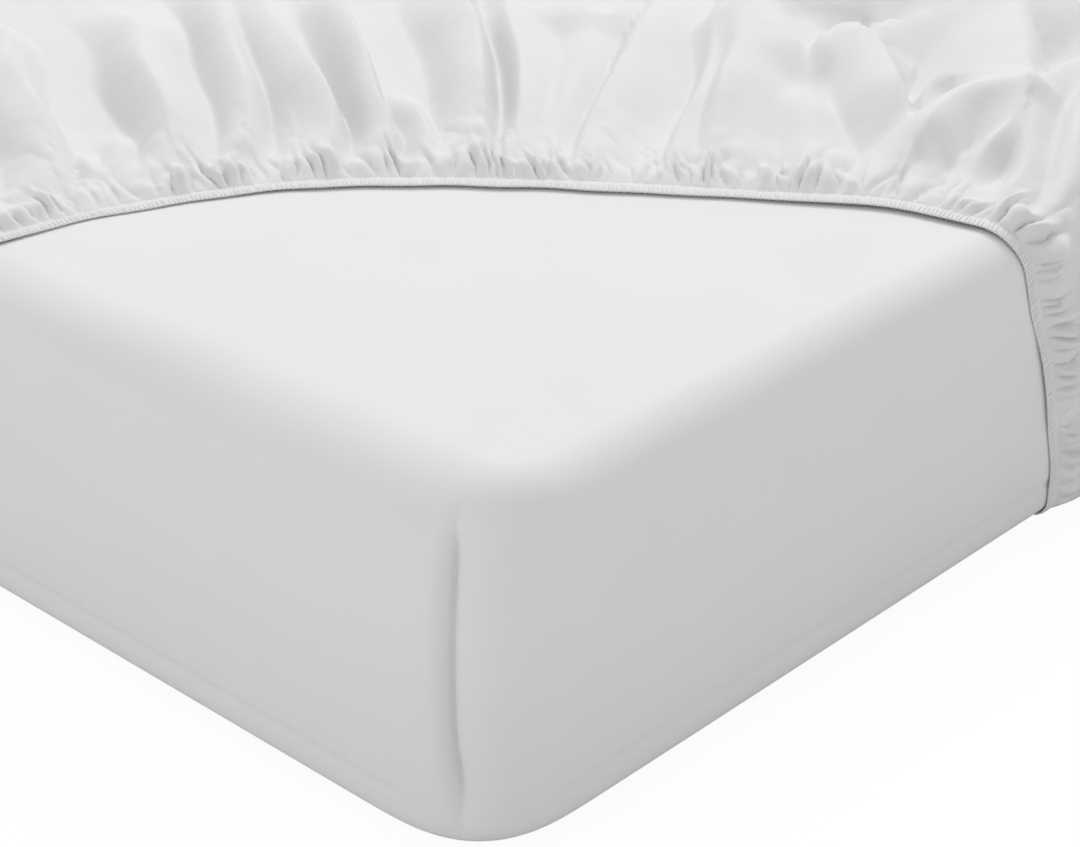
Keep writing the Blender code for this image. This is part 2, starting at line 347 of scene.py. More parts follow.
class Bench:
    """A material's node tree, with one method that adds any node."""

    def __init__(self, name: str) -> None:
        """Starts a material with only a shader and an output.

        Args:
            name: The material's name.
        """
        self.material = bpy.data.materials.new(name)
        self.material.use_nodes = True
        self.tree = self.material.node_tree
        self.shader = self.tree.nodes["Principled BSDF"]

    def node(self, kind: str, settings: dict | None = None, **values: object) -> bpy.types.Node:
        """Adds a node.

        Args:
            kind: The node's type, without ShaderNode.
            settings: The node's own settings, such as its operation or a ramp's stops.
            values: What goes into its sockets, by name with underscores for spaces.

        Returns:
            The node.
        """
        made = self.tree.nodes.new("ShaderNode" + kind)
        for key, value in (settings or {}).items():
            if key == "stops":
                self._stops(made.color_ramp, value)
            else:
                setattr(made, key, value)
        for key, value in values.items():
            self.feed(made, key.replace("_", " "), value)
        return made

    @staticmethod
    def _stops(ramp: bpy.types.ColorRamp, stops: tuple[tuple[float, float], ...]) -> None:
        """Sets a ramp's stops.

        Args:
            ramp: The ramp.
            stops: Each stop's place and grey.
        """
        while len(ramp.elements) < len(stops):
            ramp.elements.new(0.5)
        for element, (position, grey) in zip(ramp.elements, stops):
            element.position = position
            element.color = (grey, grey, grey, 1.0)

    def feed(self, node: bpy.types.Node, name: str, value: object) -> None:
        """Sets or links one socket of a node.

        Args:
            node: The node.
            name: The socket's name.
            value: A Term, a socket, a number or a tuple.
        """
        socket = node.inputs[name]
        if isinstance(value, Term):
            self.tree.links.new(value.socket, socket)
        elif isinstance(value, bpy.types.NodeSocket):
            self.tree.links.new(value, socket)
        else:
            socket.default_value = value

    def term(self, socket: bpy.types.NodeSocket) -> Term:
        """A socket that can be reckoned with."""
        return Term(self.tree, socket)

    def bumped(self, height: Term) -> None:
        """Bumps the shader's surface by heights in metres."""
        bump = self.node("Bump", Strength=1.0, Distance=1.0, Height=height)
        self.feed(self.shader, "Normal", bump.outputs["Normal"])

    def coloured(
        self,
        colour: tuple[float, float, float],
        mask: Term,
        stops: tuple[tuple[float, float], ...],
    ) -> None:
        """Colours the shader, a little darker where a mask is low.

        Args:
            colour: The colour.
            mask: The mask.
            stops: The mask's values and how much of the colour is left at each.
        """
        tone = self.node("ValToRGB", {"stops": stops}, Fac=mask)
        made = self.node(
            "MixRGB",
            {"blend_type": "MULTIPLY"},
            Fac=1.0,
            Color1=(*colour, 1.0),
            Color2=tone.outputs["Color"],
        )
        self.feed(self.shader, "Base Color", made.outputs["Color"])

    def surfaced(self, **values: object) -> None:
        """Sets the shader's own sockets, by name with underscores for spaces."""
        for key, value in values.items():
            self.feed(self.shader, key.replace("_", " "), value)


class Finish(Enum):
    """The record's material slots for the cover, the sheet and the elastic."""

    COVER = "mattress_cover"
    SHEET = "sheet_cloth"
    ELASTIC = "elastic"


@dataclass(frozen=True)
class WovenCloth:
    """A plain woven cotton, slightly creased all over."""

    name: str
    colour: tuple[float, float, float]
    slub_scale: float = 1100.0
    slub_bump: float = 0.00006
    crease_scale: float = 24.0
    crease_bump: float = 0.0009
    slub_share: float = 0.2  # how much of the change of tone follows the threads, not the creases
    tones: tuple[tuple[float, float], ...] = ((0.25, 0.97), (0.75, 1.0))
    roughness: float = 0.82
    slub_roughness: float = 0.08
    sheen: float = 0.05

    def material(self) -> bpy.types.Material:
        """Makes the material.

        Returns:
            The material: its threads and small creases are bumps.
        """
        bench = Bench(self.name)
        places = bench.node("TexCoord").outputs["Object"]
        creases = bench.node(
            "TexNoise", Vector=places, Scale=self.crease_scale, Detail=4.0, Roughness=0.5, Distortion=0.6
        )
        slubs = bench.node("TexNoise", Vector=places, Scale=self.slub_scale, Detail=2.0, Roughness=0.5)
        crease, slub = bench.term(creases.outputs["Fac"]), bench.term(slubs.outputs["Fac"])
        bench.bumped(slub * self.slub_bump + crease * self.crease_bump)
        mask = crease * (1.0 - self.slub_share) + slub * self.slub_share
        bench.coloured(self.colour, mask, self.tones)
        bench.surfaced(
            Roughness=slub * self.slub_roughness + self.roughness,
            Sheen_Weight=self.sheen,
            Sheen_Roughness=0.6,
            Specular_IOR_Level=0.25,
        )
        return bench.material


@dataclass(frozen=True)
class KnittedCover:
    """A fine stretch jersey, with a very faint mottle."""

    name: str
    colour: tuple[float, float, float]
    grain_scale: float = 900.0
    grain_bump: float = 0.00005
    mottle_scale: float = 9.0
    tones: tuple[tuple[float, float], ...] = ((0.3, 0.985), (0.7, 1.0))
    roughness: float = 0.87
    grain_roughness: float = 0.06
    sheen: float = 0.05

    def material(self) -> bpy.types.Material:
        """Makes the material.

        Returns:
            The material: the knit is a fine bump, the same on the top, the sides and the corners.
        """
        bench = Bench(self.name)
        places = bench.node("TexCoord").outputs["Object"]
        mottle = bench.node("TexNoise", Vector=places, Scale=self.mottle_scale, Detail=3.0, Roughness=0.5)
        grain = bench.node("TexNoise", Vector=places, Scale=self.grain_scale, Detail=2.0, Roughness=0.6)
        knit = bench.term(grain.outputs["Fac"])
        bench.bumped(knit * self.grain_bump)
        bench.coloured(self.colour, bench.term(mottle.outputs["Fac"]), self.tones)
        bench.surfaced(
            Roughness=knit * self.grain_roughness + self.roughness,
            Sheen_Weight=self.sheen,
            Sheen_Roughness=0.5,
            Specular_IOR_Level=0.2,
        )
        return bench.material


@dataclass(frozen=True)
class Thread:
    """A spun polyester thread or the ribbed tape under it."""

    name: str
    colour: tuple[float, float, float]
    ply_scale: float = 1800.0
    ply_bump: float = 0.00005
    tones: tuple[tuple[float, float], ...] = ((0.3, 0.94), (0.7, 1.0))
    roughness: float = 0.75

    def material(self) -> bpy.types.Material:
        """Makes the material.

        Returns:
            The material: a fine fibrous bump, and a faint change of tone with it.
        """
        bench = Bench(self.name)
        places = bench.node("TexCoord").outputs["Object"]
        plies = bench.node("TexNoise", Vector=places, Scale=self.ply_scale, Detail=2.0, Roughness=0.6)
        fibres = bench.term(plies.outputs["Fac"])
        bench.bumped(fibres * self.ply_bump)
        bench.coloured(self.colour, fibres, self.tones)
        bench.surfaced(Roughness=self.roughness)
        return bench.material


# ---------------------------------------------------------------- pieces on a grid


def grid_piece(name: str, points: Array, cloth: Array, closed: bool = False) -> bpy.types.Object:
    """A piece on a primitive grid whose corners are moved to rows of points.

    Args:
        name: The piece's name.
        points: The points: rows, then columns, then x, y and z.
        cloth: The same corners' places on the laid-out cloth, for the UV map.
        closed: Whether the last column is the first one again, so that the two are joined.

    Returns:
        The piece, smooth, with its faces outward.
    """
    rows, columns = points.shape[:2]
    bpy.ops.object.select_all(action="DESELECT")
    bpy.ops.mesh.primitive_grid_add(x_subdivisions=columns - 1, y_subdivisions=rows - 1, size=2.0)
    piece = bpy.context.object
    piece.name = name
    mesh = piece.data
    mesh.name = name
    flat = np.empty(len(mesh.vertices) * 3)
    mesh.vertices.foreach_get("co", flat)
    flat = flat.reshape(-1, 3)
    column = np.rint((flat[:, 0] + 1.0) / 2.0 * (columns - 1)).astype(int)
    row = np.rint((flat[:, 1] + 1.0) / 2.0 * (rows - 1)).astype(int)
    mesh.vertices.foreach_set("co", points[row, column].ravel())
    corner = np.empty(len(mesh.loops), np.int32)
    mesh.loops.foreach_get("vertex_index", corner)
    mesh.uv_layers[0].name = "UVMap"
    mesh.uv_layers[0].data.foreach_set("uv", cloth[row, column][corner].ravel())
    mesh.update()
    tidy = bmesh.new()
    tidy.from_mesh(mesh)
    if closed:
        bmesh.ops.remove_doubles(tidy, verts=tidy.verts, dist=1e-6)
    bmesh.ops.recalc_face_normals(tidy, faces=tidy.faces)
    highest = max(tidy.faces, key=lambda face: face.calc_center_median().z)
    if highest.normal.z < 0.0:
        bmesh.ops.reverse_faces(tidy, faces=tidy.faces)
    tidy.to_mesh(mesh)
    tidy.free()
    mesh.shade_smooth()
    return piece


def dress(piece: bpy.types.Object, material: bpy.types.Material) -> None:
    """Gives a piece its material and body.

    Args:
        piece: The piece.
        material: Its material.
    """
    piece.data.materials.clear()
    piece.data.materials.append(material)
    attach(piece, BODY)
    LOG.info("%s: %d faces", piece.name, len(piece.data.polygons))


# ---------------------------------------------------------------- the mattress


@dataclass
class MattressCover:
    """The mattress in its smooth jersey cover, drawn together at a seam down each corner."""

    form: MattressForm
    seam_turn: float = math.radians(18)  # how far past the corner's middle a seam stands
    seam_depth: float = 0.0105
    seam_spread: float = 0.0080
    seam_shoulder: float = 0.020
    seam_bend: float = 0.009
    seam_foot: tuple[float, float] = (-0.020, 0.045)  # where it fades out, above the lower edge
    seam_bend_rise: float = 0.085
    stitch_depth: float = 0.0030
    stitch_spread: float = 0.0026
    crown: float = 0.0015
    top_waver: float = 0.0008
    side_waver: float = 0.0010  # stays under the sheet's clearance
    soft_lean: float = 0.009  # how far the -X side leans in at its top, beside the bare corner
    crease_rise: float = 0.014  # the cover's lower crease, above the lower edge
    crease_depth: float = 0.0014
    crease_spread: float = 0.0035
    corner_ease: float = 0.026  # how far round its corners the cover's sides start to turn
    ease_step: float = 0.0005
    inner_edge: float = 0.009
    inner_spread: float = math.radians(16)  # how much of the innermost rings a corner's columns take
    side_steps: tuple[tuple[float, float], ...] = ((0.06, 0.006), (0.20, 0.014))
    middle_step: float = 0.024
    fine_step: float = 0.0022
    inner_rings: tuple[float, ...] = (0.0, 0.14, 0.30, 0.46, 0.60, 0.72, 0.81, 0.88, 0.93, 0.965, 0.985)

    def columns(self) -> tuple[Array, Array, Array, Array]:
        """The columns of the cover's faces, all round.

        Returns:
            Each column's anchor, its outward direction, its way round from the nearest seam,
            and its heading from the middle on the innermost rings.
        """
        anchors, outwards, ways, headings = [], [], [], []
        arc = self.form.arc
        corners = np.array(((1, -1), (1, 1), (-1, 1), (-1, -1)))
        quarter = math.pi / 2
        spread = self.inner_spread
        for index, sign in enumerate(corners):
            centre = arc * sign
            following = arc * corners[(index + 1) % 4]
            middle = math.atan2(centre[1], centre[0])
            step = (math.atan2(following[1], following[0]) - middle) % (2 * math.pi)
            start = quarter * (index - 1)
            seam = quarter / 2 + (-self.seam_turn if index % 2 else self.seam_turn)
            for turn in self._turns(seam):
                anchors.append(centre)
                outwards.append((math.cos(start + turn), math.sin(start + turn)))
                ways.append((turn - seam) * self.form.corner_radius)
                headings.append(middle + spread * (turn / quarter - 0.5))
            run = float(np.linalg.norm(following - centre))
            half = stepped((*self.side_steps, (run / 2, self.middle_step)))
            for distance in np.concatenate((half[1:], run - half[-2:0:-1])):
                share = distance / run
                anchors.append(centre + (following - centre) * share)
                outwards.append(outwards[-1])
                ways.append(1.0)
                headings.append(middle + spread / 2 + (step - spread) * share)
        return np.array(anchors), np.array(outwards), np.array(ways), np.array(headings)

    def _turns(self, seam: float) -> Array:
        """Angles round a corner, closest together beside its seam.

        Args:
            seam: The seam's own angle.

        Returns:
            The angles, from 0 to a quarter turn.
        """
        step = self.fine_step / self.form.corner_radius
        near = np.arange(-9, 10) * step * 0.35
        before = np.linspace(0.0, seam + near[0], 22)[:-1]
        after = np.linspace(seam + near[-1], math.pi / 2, 22)[1:]
        return np.concatenate((before, seam + near, after))

    def _top_rings(self, anchor: Array, outward: Array, flat: Array, headings: Array) -> list[Array]:
        """The rings of the flat top, from its middle to where the edge starts to round.

        Args:
            anchor: Each column's anchor.
            outward: Its outward direction.
            flat: How far from its anchor the edge starts to round.
            headings: Its heading on the innermost rings.

        Returns:
            The rings' places.
        """
        edge = anchor + outward * self.inner_edge
        reach = self.form.arc * 0.9
        inner = np.column_stack((np.cos(headings), np.sin(headings)))
        inner *= (1.0 / np.abs(inner / reach).max(axis=1) ** 0.9)[:, None] * 0.75
        rings = []
        for share in self.inner_rings:
            blend = smooth_step(0.30, 1.0, share)
            rings.append((inner * (1.0 - blend) + edge * blend) * share)
        for share in (0.0, 0.3, 0.65):
            rings.append(edge + outward * (share * (flat - self.inner_edge))[:, None])
        return rings

    def _eased(self, ring: Array) -> Array:
        """A closed ring with its corners eased, so that its sides turn into them gradually.

        Args:
            ring: The ring's places from above, the last the same as the first.

        Returns:
            The eased places.
        """
        along = travelled(ring)
        count = int(along[-1] / self.ease_step)
        if count < 100:
            return ring
        even = np.arange(count) * along[-1] / count
        waves = np.fft.rfft(places_at(ring, even), axis=0)
        pitch = np.fft.rfftfreq(count, along[-1] / count)
        waves *= np.exp(-2.0 * (math.pi * pitch * self.corner_ease) ** 2)[:, None]
        soft = np.fft.irfft(waves, count, axis=0)
        return np.stack([np.interp(along, even, axis, period=along[-1]) for axis in soft.T], axis=-1)

    def build(self) -> bpy.types.Object:
        """Makes the cover.

        Returns:
            The piece, which stands for the mattress.
        """
        form = self.form
        parts = self.columns()
        anchor, outward, way, headings = (np.concatenate((part, part[:1])) for part in parts)
        radius = form.rim_radius(anchor, outward)
        top, side, lower = form.stretches(radius)
        flat = form.corner_radius - radius
        points, cloth = [], []
        rim = anchor + outward * form.corner_radius
        shift = np.column_stack((self._eased(rim) - rim, np.zeros(len(rim))))
        rings = self._top_rings(anchor, outward, flat, headings)
        for ring, moved in zip(rings, smooth_step(2.0, len(rings) - 4.0, np.arange(len(rings)))):
            level = np.column_stack((ring, np.full(len(ring), form.height)))
            points.append(level + shift * moved)
            cloth.append(ring)
        stages = (0.0, 1.0, 2.0, 3.0)
        upper = np.linspace(0.0, 1.0, 15)
        face = 1.0 + stepped(((0.12, 0.03), (0.86, 0.04), (1.0, 0.014)))[1:]
        under = 2.0 + np.linspace(0.0, 1.0, 9)[1:]
        for stage in np.concatenate((upper, face, under)):
            weights = [np.interp(stage, stages, row) for row in np.eye(4)]
            travel = weights[1] * top + weights[2] * side + weights[3] * lower
            groove = self._groove(way, travel, top, side)
            plain = form.surface(anchor, outward, flat + travel, np.zeros(len(way)))
            drawn = form.surface(anchor, outward, flat + travel, -groove) - plain
            points.append(plain + drawn + shift)
            cloth.append(anchor + outward * (flat + travel)[:, None])
        rim = points[-1]
        half = np.array((form.width, form.length)) / 2 - form.lower_radius
        for margin, height in ((0.05, form.tuck_rise), (0.13, form.tuck_rise), (0.17, 0.0), (0.40, 0.0)):
            plan = rim[:, :2] * (1.0 - margin / half)
            points.append(np.column_stack((plan, np.full(len(plan), height))))
            cloth.append(plan)
        points.append(np.zeros_like(rim))
        cloth.append(np.zeros_like(plan))
        points = np.array(points)
        self._soften(points)
        piece = grid_piece("mattress_cover", points, np.array(cloth), closed=True)
        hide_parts("mattress")
        return piece

    def _groove(self, way: Array, travel: Array, top: Array, side: Array) -> Array:
        """How deep the cover is drawn in beside its corner seams, and along its lower crease.

        Args:
            way: Each column's way round from the nearest seam.
            travel: How far round the edge and down the side the ring is.
            top: Where the top edge ends.
            side: Where the side ends.

        Returns:
            The depths.
        """
        down = smooth_step(0.45, 1.05, travel / top)
        bent = way - self.seam_bend * smooth_step(self.seam_bend_rise, 0.0, side - travel)
        shoulder = np.where(bent > 0.0, self.seam_shoulder, self.seam_spread)
        soft = 0.55 * np.exp(-((bent / self.seam_spread) ** 2))
        soft = self.seam_depth * (soft + 0.45 * np.exp(-((bent / shoulder) ** 2)))
        thread = self.stitch_depth * np.exp(-((bent / self.stitch_spread) ** 2))
        above = side - travel - self.crease_rise
        crease = self.crease_depth * np.exp(-((above / self.crease_spread) ** 2)) * (np.abs(way) > 0.5)
        down = down * smooth_step(*self.seam_foot, side - travel)
        return (soft + thread) * down + crease

    def _soften(self, points: Array) -> None:
        """Lets the top crown a little and the faces waver, as foam in a cover does.

        Args:
            points: The cover's corners, which are moved.
        """
        form = self.form
        x, y, z = points[..., 0], points[..., 1], points[..., 2]
        edge = np.maximum(np.abs(x) / (form.width / 2), np.abs(y) / (form.length / 2))
        upper = smooth_step(form.height - 0.05, form.height, z)
        z -= self.crown * upper * smooth_step(0.72, 1.0, edge) ** 2
        z += self.top_waver * upper * np.tanh(ripples(x, y, 0.35, 3))
        middle = smooth_step(0.0, 0.12, z) * smooth_step(form.height, form.height - 0.12, z)
        bulge = self.side_waver * np.tanh(ripples(x + y, z * 2.0, 0.30, 5)) * middle
        facing_x = smooth_step(0.90, 1.0, np.abs(x) / (form.width / 2))
        facing_y = smooth_step(0.93, 1.0, np.abs(y) / (form.length / 2))
        lean = self.soft_lean * np.clip((z - 0.12) / (form.height - 0.14), 0.0, 1.0) ** 2
        lean *= smooth_step(0.55, 0.97, -x / (form.width / 2))
        lean *= smooth_step(0.46, 0.30, y + form.length / 2)
        x += np.sign(x) * bulge * facing_x + lean
        y += np.sign(y) * bulge * facing_y


# ---------------------------------------------------------------- the sheet


@dataclass(frozen=True)
class Ridge:
    """A long fold that runs in from the drawn-back hem.

    Attributes:
        crest: The places along its crest from the hem inward, measured from the bare corner.
        height: The height of its crest.
        left: How far along the hem it falls to nothing on its left, looking inward.
        right: The same on its right.
        start: The share of its height that it has at the hem.
    """

    crest: tuple[tuple[float, float], ...]
    height: float
    left: float
    right: float
    start: float = 0.28


@dataclass(frozen=True)
class Crumple:
    """A short fold of the crumpled cloth, anywhere.

    Attributes:
        crest: The places along its crest, measured from the bare corner.
        height: The height of its crest.
        left: How far it falls to nothing on its left, looking along the crest.
        right: The same on its right.
        start: The share of its height where the crest starts.
        end: The share where it ends.
    """

    crest: tuple[tuple[float, float], ...]
    height: float
    left: float
    right: float
    start: float = 0.5
    end: float = 0.3


RIDGES = (
    # From the -Y side up to its edge
    Ridge(((0.71, -0.265), (0.79, -0.270), (0.90, -0.26)), 0.007, 0.020, 0.022),
    Ridge(((0.71, -0.205), (0.80, -0.220), (0.95, -0.19)), 0.010, 0.026, 0.016),
    Ridge(((0.70, -0.150), (0.78, -0.150), (0.90, -0.13)), 0.009, 0.018, 0.024),
    Ridge(((0.68, -0.100), (0.77, -0.095), (0.92, -0.06)), 0.012, 0.026, 0.016),
    Ridge(((0.66, -0.045), (0.75, -0.040), (0.86, -0.02)), 0.012, 0.018, 0.024),
    Ridge(((0.62, -0.005), (0.70, 0.030), (0.80, 0.070), (0.92, 0.12)), 0.016, 0.020, 0.026),
    Ridge(((0.61, 0.035), (0.68, 0.055), (0.76, 0.100), (0.86, 0.14)), 0.020, 0.016, 0.026),
    # Across the top, as far as the -X side
    Ridge(((0.565, 0.170), (0.60, 0.205), (0.64, 0.250), (0.665, 0.275)), 0.020, 0.045, 0.050),
    Ridge(((0.530, 0.195), (0.575, 0.240), (0.61, 0.280)), 0.013, 0.024, 0.020),
    Ridge(((0.500, 0.230), (0.545, 0.262), (0.60, 0.303), (0.662, 0.344), (0.763, 0.400)),
          0.029, 0.022, 0.085, 0.14),
    Ridge(((0.480, 0.262), (0.544, 0.298), (0.641, 0.359), (0.713, 0.406), (0.790, 0.455)),
          0.015, 0.011, 0.045),
    Ridge(((0.445, 0.322), (0.490, 0.355), (0.591, 0.419), (0.681, 0.473), (0.767, 0.520)),
          0.015, 0.011, 0.060),
    Ridge(((0.425, 0.345), (0.512, 0.404), (0.588, 0.457), (0.671, 0.514)), 0.010, 0.030, 0.030),
    Ridge(((0.403, 0.365), (0.482, 0.421), (0.531, 0.465), (0.592, 0.526), (0.650, 0.597)),
          0.015, 0.016, 0.045),
    Ridge(((0.385, 0.385), (0.426, 0.411), (0.484, 0.466), (0.524, 0.505), (0.583, 0.568), (0.640, 0.642)),
          0.024, 0.050, 0.013),
    Ridge(((0.365, 0.410), (0.403, 0.451), (0.445, 0.510)), 0.014, 0.024, 0.016),
    Ridge(((0.335, 0.435), (0.353, 0.450), (0.396, 0.490), (0.411, 0.527), (0.483, 0.615), (0.544, 0.693)),
          0.026, 0.038, 0.014),
    Ridge(((0.305, 0.455), (0.323, 0.480), (0.369, 0.531), (0.405, 0.600), (0.455, 0.689), (0.502, 0.781)),
          0.028, 0.056, 0.013),
    Ridge(((0.285, 0.485), (0.334, 0.539), (0.362, 0.587)), 0.011, 0.020, 0.016),
    Ridge(((0.243, 0.510), (0.270, 0.527), (0.338, 0.610), (0.404, 0.696), (0.474, 0.791)),
          0.026, 0.034, 0.024),
    Ridge(((0.179, 0.530), (0.217, 0.556), (0.254, 0.606), (0.290, 0.662), (0.329, 0.723), (0.369, 0.785)),
          0.027, 0.032, 0.050),
    Ridge(((0.150, 0.560), (0.170, 0.590), (0.226, 0.627)), 0.010, 0.020, 0.018),
    Ridge(((0.118, 0.560), (0.158, 0.587), (0.181, 0.622)), 0.012, 0.018, 0.020),
    Ridge(((0.085, 0.570), (0.128, 0.585), (0.157, 0.634), (0.175, 0.667), (0.225, 0.746), (0.285, 0.857)),
          0.024, 0.050, 0.020),
    Ridge(((0.040, 0.580), (0.070, 0.620), (0.120, 0.720), (0.18, 0.85)), 0.018, 0.034, 0.030),
    Ridge(((-0.02, 0.590), (0.00, 0.640), (0.03, 0.720), (0.07, 0.82)), 0.014, 0.026, 0.024),
    # Down the -X side
    Ridge(((-0.08, 0.600), (-0.06, 0.69), (-0.04, 0.80)), 0.012, 0.026, 0.018),
    Ridge(((-0.13, 0.610), (-0.12, 0.68), (-0.12, 0.76)), 0.009, 0.022, 0.022),
    Ridge(((-0.18, 0.620), (-0.18, 0.72), (-0.16, 0.88)), 0.011, 0.026, 0.016),
    Ridge(((-0.23, 0.635), (-0.23, 0.70), (-0.24, 0.78)), 0.007, 0.020, 0.020),
    Ridge(((-0.28, 0.655), (-0.28, 0.74), (-0.27, 0.84)), 0.007, 0.022, 0.018),
)

CRUMPLES = (
    Crumple(((0.775, 0.405), (0.735, 0.360), (0.712, 0.325), (0.680, 0.285)),
            0.032, 0.045, 0.075, 1.0, 0.35),
    Crumple(((0.700, 0.290), (0.750, 0.315), (0.775, 0.312), (0.785, 0.288)), 0.028, 0.020, 0.055, 0.4, 1.0),
    Crumple(((0.781, 0.293), (0.745, 0.245), (0.715, 0.208), (0.665, 0.145)), 0.032, 0.022, 0.062, 1.0, 0.4),
    Crumple(((0.585, 0.132), (0.625, 0.134), (0.672, 0.138), (0.742, 0.150), (0.785, 0.124)),
            0.028, 0.050, 0.034, 0.4, 1.0),
    Crumple(((0.745, 0.200), (0.768, 0.206), (0.782, 0.190), (0.800, 0.136)), 0.024, 0.018, 0.050, 0.5, 1.0),
    Crumple(((0.950, 0.245), (0.866, 0.178), (0.789, 0.126)), 0.028, 0.022, 0.110, 1.0, 1.0),
    Crumple(((0.835, 0.310), (0.913, 0.288), (0.963, 0.258), (1.004, 0.214), (1.05, 0.17)),
            0.026, 0.026, 0.080, 0.7, 0.8),
    Crumple(((0.775, 0.415), (0.841, 0.407), (0.850, 0.378), (0.894, 0.334), (1.024, 0.227), (1.10, 0.16)),
            0.032, 0.050, 0.045, 1.0, 0.8),
    Crumple(((0.650, 0.092), (0.715, 0.098), (0.765, 0.118)), 0.018, 0.026, 0.018, 0.4, 0.9),
    Crumple(((0.90, 0.120), (0.98, 0.170), (1.08, 0.190)), 0.018, 0.040, 0.040, 0.4, 0.4),
    Crumple(((0.66, 0.62), (0.70, 0.575), (0.725, 0.535), (0.785, 0.545)), 0.012, 0.020, 0.050, 0.6, 0.6),
)

BARE_HEM = (
    (0.780, -0.377),
    (0.718, -0.345),
    (0.697, -0.300),
    (0.690, -0.250),
    (0.687, -0.208),
    (0.665, -0.125),
    (0.632, -0.041),
    (0.606, 0.030),
    (0.588, 0.106),
    (0.545, 0.173),
    (0.450, 0.303),
    (0.376, 0.400),
    (0.289, 0.484),
    (0.182, 0.542),
    (0.080, 0.574),
    (-0.020, 0.588),
    (-0.120, 0.603),
    (-0.211, 0.624),
    (-0.258, 0.640),
    (-0.310, 0.665),
    (-0.358, 0.740),
)


@dataclass(frozen=True)
class Pleats:
    """One size of the small gathers that the elastic draws the cloth into.

    Attributes:
        width: The usual width of a pleat along the hem.
        height: The usual height of one.
        peak: How far from the hem they are highest.
        length: How far from the hem they have faded away.
        seed: Picks their places, sizes and slants.
    """

    width: float
    height: float
    peak: float
    length: float
    seed: int


PLEATS = (
    Pleats(0.0125, 0.0045, 0.009, 0.050, 11),
    Pleats(0.0200, 0.0050, 0.018, 0.070, 12),
    Pleats(0.0400, 0.0040, 0.045, 0.140, 13),
)


